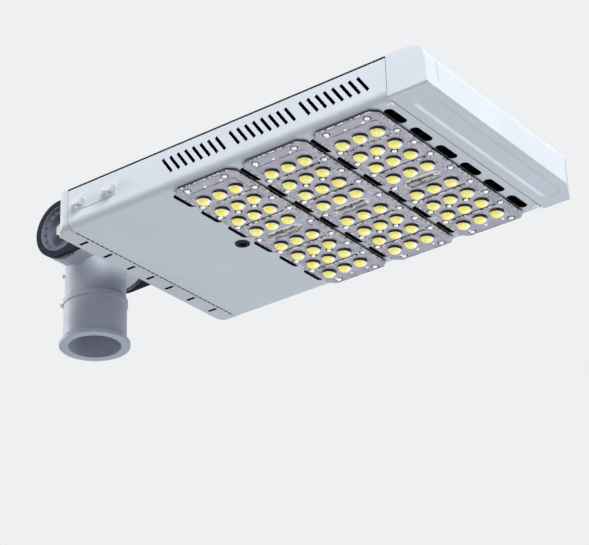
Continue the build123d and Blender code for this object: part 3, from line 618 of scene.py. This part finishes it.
def lens_plate(module):
    """Moulded lens plate with its raised field, lip, ribs, spine, bumps and domes."""
    low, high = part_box(f"lens_{module}")
    x = plate_middle(module)
    length, width = (high[0] - low[0]) / MM, (high[1] - low[1]) / MM
    edge = PLATE_FACE + RIM_EDGE
    field = PLATE_FACE - FIELD_RISE
    bm = bmesh.new()
    slant = bm.loops.layers.uv.new(SLANT)
    plate = rectangle(x, 0, length, width, CORNER, 1)
    # Painted shade on the plate's lower walls, next to the gasket.
    raised(bm, plate, -GASKET, edge, 0, SHADED)
    raised(bm, plate, edge, PLATE_FACE, 0.35, CLEAR)
    # Painted glints on the plate's upper walls.
    for wall in bm.faces:
        height = (wall.calc_center_median().z - UNDERSIDE) / MM
        if PLATE_FACE + EDGE_GAP < height < edge - EDGE_GAP:
            wall.material_index = GLINT
    raised(bm, rectangle(x, 0, FIELD_LENGTH, FIELD_WIDTH, FIELD_CORNER), PLATE_FACE + SINK, field, 0.5, CLEAR)
    lip_x, lip_y = length / 2 - LIP_INSET, width / 2 - LIP_INSET
    for side in (-1, 1):
        along = rectangle(x, side * lip_y, length - 2 * CORNER - LIP_SHORT, LIP_WIDTH)
        beside = rectangle(x + side * lip_x, 0, LIP_WIDTH, width - 2 * CORNER - LIP_SHORT)
        field_x = x + side * (FIELD_LENGTH / 2 - FIELD_LIP_INSET)
        field_side = rectangle(field_x, 0, LIP_WIDTH, FIELD_WIDTH - 2 * FIELD_CORNER)
        raised(bm, along, PLATE_FACE + LOW_SINK, PLATE_FACE - LIP_HEIGHT, 0.15, GLINT)
        raised(bm, beside, PLATE_FACE + LOW_SINK, PLATE_FACE - LIP_HEIGHT, 0.15, GLINT)
        raised(bm, field_side, field + LOW_SINK, field - FIELD_LIP_HEIGHT, 0.1, GLINT)
        for row in RIB_ROWS:
            rib = rectangle(x, side * row, RIB_LENGTH, RIB_WIDTH, 1.0)
            # Painted shadow: a dark strip along one side of each rib.
            rib_shadow = rectangle(x, side * row + (RIB_WIDTH + RIB_SHADOW) / 2, RIB_LENGTH, RIB_SHADOW)
            raised(bm, rib, field + SINK, field - RIB_HEIGHT, 0.5, GLINT)
            raised(bm, rib_shadow, field + LOW_SINK, field - RIB_SHADOW_HEIGHT, 0, SHADED)
    spine_face = field - SPINE_HEIGHT
    spine = rectangle(x, 0, SPINE_LENGTH, SPINE_WIDTH, SPINE_WIDTH / 2 - ROUND_SHORT, 6)
    raised(bm, spine, field + SINK, spine_face, 0.8, GLINT)
    bar_length = SPINE_LENGTH - SPINE_WIDTH + SPINE_BAR_OVER
    slot_offset, slot_length, slot_width = SPINE_SLOT
    for side in (-1, 1):
        bar = rectangle(x, side * SPINE_BAR[0], bar_length, SPINE_BAR[1], 0.6)
        raised(bm, bar, spine_face + SINK, spine_face - SPINE_BAR_HEIGHT, 0.2, PALE)
        # The spine's slots are strips of painted shade.
        slot = rectangle(x + side * slot_offset, 0, slot_length, slot_width, slot_width / 2 - ROUND_SHORT)
        raised(bm, slot, spine_face + LOW_SINK, spine_face - SPINE_SLOT_HEIGHT, 0, SHADED)
    for column in (-1, 0, 1):
        for side in (-1, 1):
            for row in DOME_ROWS:
                dome(bm, slant, x + column * DOME_PITCH, side * row, field)
    for sx in (-1, 1):
        for sy in (-1, 1):
            place = (x + sx * BUMPS[0], sy * BUMPS[1], field)
            # Painted shade ring round each boss.
            turned(bm, place, BUMP_SHADE_RING, ROUND_STEPS, SHADED)
            turned(bm, place, BUMP_PROFILE, ROUND_STEPS, PALE)
    for a, b in PIPS:
        for side in (-1, 1):
            turned(bm, (x + a, side * b, PLATE_FACE), PIP_PROFILE, PIP_STEPS, PALE)
    for place in screw_places(x):
        # Painted shade ring round each screw.
        turned(bm, place, SCREW_SHADE_RING, ROUND_STEPS, SHADED)
    materials = [lens_clear, dome_clear, lens_shade, lens_glint, lens_pale]
    piece = new_piece(f"lens_plate_{module}", bm, materials)
    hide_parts(f"lens_{module}")


for module in MODULES:
    lens_plate(module)


# Small screws and the painted shade of the rear seam
DASH_REACH, DASH_PITCH, DASH_LENGTH, DASH_WIDTH, DASH_PLACE = 138.0, 7.8, 5.8, 1.9, -0.4
DASH_SINK, DASH_HEIGHT = 0.3, 0.05
COVER_SCREW_COUNT, COVER_SCREW_SIDE, COVER_SCREW_SIZE = 5, 143.0, (3.8, 1.8)
SEAM_SCREW_INSET, SEAM_SCREW_SIDE, SEAM_SCREW_SIZE = 4.6, 138.0, (4.5, 1.2)
SCREW_STEPS = 16
SCREW_PROFILE = ((1.0, 0.0), (0.98, 0.35), (0.85, 0.72), (0.55, 0.95), (0.42, 1.0), (0.34, 0.55), (0, 0.5))


def screw(bm, x, y, z, radius, height, down=True):
    """Pan-head screw with a sunk drive."""
    profile = [(r * radius, h * height) for r, h in SCREW_PROFILE]
    revolve(bm, (x, y, z), profile, SCREW_STEPS, down)


def module_screws():
    """Screws round the edge of every lens plate."""
    bm = bmesh.new()
    for module in MODULES:
        for place in screw_places(plate_middle(module)):
            screw(bm, *place, SCREW_RADIUS, SCREW_HEIGHT)
    new_piece("module_screws", bm, [lens_pale])


def cover_screws():
    """Screws along both sides of the top cover and two through the front seam."""
    bm = bmesh.new()
    for i in range(COVER_SCREW_COUNT):
        x = LENGTH * (i + 0.5) / COVER_SCREW_COUNT
        for side in (-1, 1):
            screw(bm, x, side * COVER_SCREW_SIDE, COVER_TOP, *COVER_SCREW_SIZE, down=False)
    for side in (-1, 1):
        screw(bm, LENGTH - SEAM_SCREW_INSET, side * SEAM_SCREW_SIDE, 0, *SEAM_SCREW_SIZE)
    new_piece("cover_screws", bm, [screw_bright])


def seam_dashes():
    """Painted shade of the rear seam's gap on the underside: dark strips, with the tabs that space it between
    them.
    """
    bm = bmesh.new()
    count = int(2 * DASH_REACH / DASH_PITCH)
    for i in range(count):
        y = (i - (count - 1) / 2) * DASH_PITCH
        slab(bm, rectangle(DASH_PLACE, y, DASH_WIDTH, DASH_LENGTH), DASH_SINK, -DASH_HEIGHT)
    new_piece("seam_dashes", bm, [lens_shade])


module_screws()
cover_screws()
seam_dashes()


# Camera at the photograph's viewing angle, below and in front of the head
CAMERA_PLACE = (1.4387, -1.5801, -0.9770)
CAMERA_RIGHT = Vector((0.7986, 0.6010, -0.0309))
CAMERA_FORWARD = Vector((-0.5267, 0.7227, 0.4476))
CAMERA_LENS, CAMERA_SENSOR, CAMERA_REACH = 124.30, 36.0, 100.0

camera_data = bpy.data.cameras.new("camera")
camera_data.lens = CAMERA_LENS
camera_data.sensor_width = CAMERA_SENSOR
camera_data.clip_end = CAMERA_REACH
camera = bpy.data.objects.new("camera", camera_data)
right = CAMERA_RIGHT.normalized()
forward = (CAMERA_FORWARD - CAMERA_FORWARD.dot(right) * right).normalized()
up = right.cross(forward)
camera.matrix_world = Matrix.Translation(CAMERA_PLACE) @ Matrix((right, up, -forward)).transposed().to_4x4()
bpy.context.scene.collection.objects.link(camera)
bpy.context.scene.camera = camera


# Light
def softbox(name, direction, distance, size, level, colour=(1, 1, 1), mirrored=True):
    """Square lamp aimed at the head, with a level of light for what faces it, mirrored in gloss or not."""
    aim = Vector(((cad_box[0][0] + cad_box[1][0]) / 2, 0, UNDERSIDE))
    way = Vector(direction).normalized()
    lamp_data = bpy.data.lights.new(name, "AREA")
    lamp_data.shape = "SQUARE"
    lamp_data.size = size
    lamp_data.energy = level * pi * pi * distance * distance
    lamp_data.color = colour
    lamp = bpy.data.objects.new(name, lamp_data)
    lamp.location = aim + way * distance
    lamp.rotation_euler = way.to_track_quat("Z", "Y").to_euler()
    lamp.visible_glossy = mirrored
    bpy.context.scene.collection.objects.link(lamp)


softbox("key", (0.78, -0.55, 0.55), 5.0, 2.6, 1.4, (1.0, 0.985, 0.96), False)
softbox("rim", (-0.95, -0.22, 0.12), 3.0, 1.6, 0.75)
softbox("under", (0.15, 0.75, -0.75), 3.0, 1.2, 0.37, (0.92, 0.96, 1.0))

BACKGROUND = (0.86, 0.87, 0.88)
AMBIENT_COLOUR, AMBIENT = (0.97, 0.985, 1.0), 0.25


def world_light():
    """Even ambient light, with the pale background for the camera and in reflections."""
    world = bpy.data.worlds.new("world")
    bpy.context.scene.world = world
    world.use_nodes = True
    tree = world.node_tree
    tree.nodes.clear()
    output = tree.nodes.new("ShaderNodeOutputWorld")
    light = tree.nodes.new("ShaderNodeBackground")
    light.inputs["Color"].default_value = (*AMBIENT_COLOUR, 1)
    light.inputs["Strength"].default_value = AMBIENT
    seen = tree.nodes.new("ShaderNodeBackground")
    seen.inputs["Color"].default_value = (*BACKGROUND, 1)
    ray = tree.nodes.new("ShaderNodeLightPath").outputs
    bent = math(tree, "MAXIMUM", ray["Is Glossy Ray"], ray["Is Transmission Ray"])
    mix = tree.nodes.new("ShaderNodeMixShader")
    tree.links.new(math(tree, "MAXIMUM", ray["Is Camera Ray"], bent), mix.inputs["Fac"])
    tree.links.new(light.outputs["Background"], mix.inputs[1])
    tree.links.new(seen.outputs["Background"], mix.inputs[2])
    tree.links.new(mix.outputs["Shader"], output.inputs["Surface"])


world_light()

FLOOR_DROP, FLOOR_HALF, FLOOR_LIFT = 3.3, 60.0, 0.42


def plain_floor():
    """Plain pale floor, far below because the light is held up, lifted a little for the camera."""
    mesh = bpy.data.meshes.new("floor")
    signs = ((-1, -1), (1, -1), (1, 1), (-1, 1))
    corners = [(a * FLOOR_HALF, b * FLOOR_HALF, -FLOOR_DROP) for a, b in signs]
    mesh.from_pydata(corners, [], [(0, 1, 2, 3)])
    material, node, tree = shader("floor", grey(0.8), 0.9)
    ray = tree.nodes.new("ShaderNodeLightPath").outputs
    lift = math(tree, "MULTIPLY", ray["Is Camera Ray"], FLOOR_LIFT)
    tree.links.new(lift, node.inputs["Emission Strength"])
    node.inputs["Emission Color"].default_value = (*BACKGROUND, 1)
    mesh.materials.append(material)
    floor = bpy.data.objects.new("floor", mesh)
    bpy.context.scene.collection.objects.link(floor)


plain_floor()

bpy.context.scene.view_settings.view_transform = "Standard"
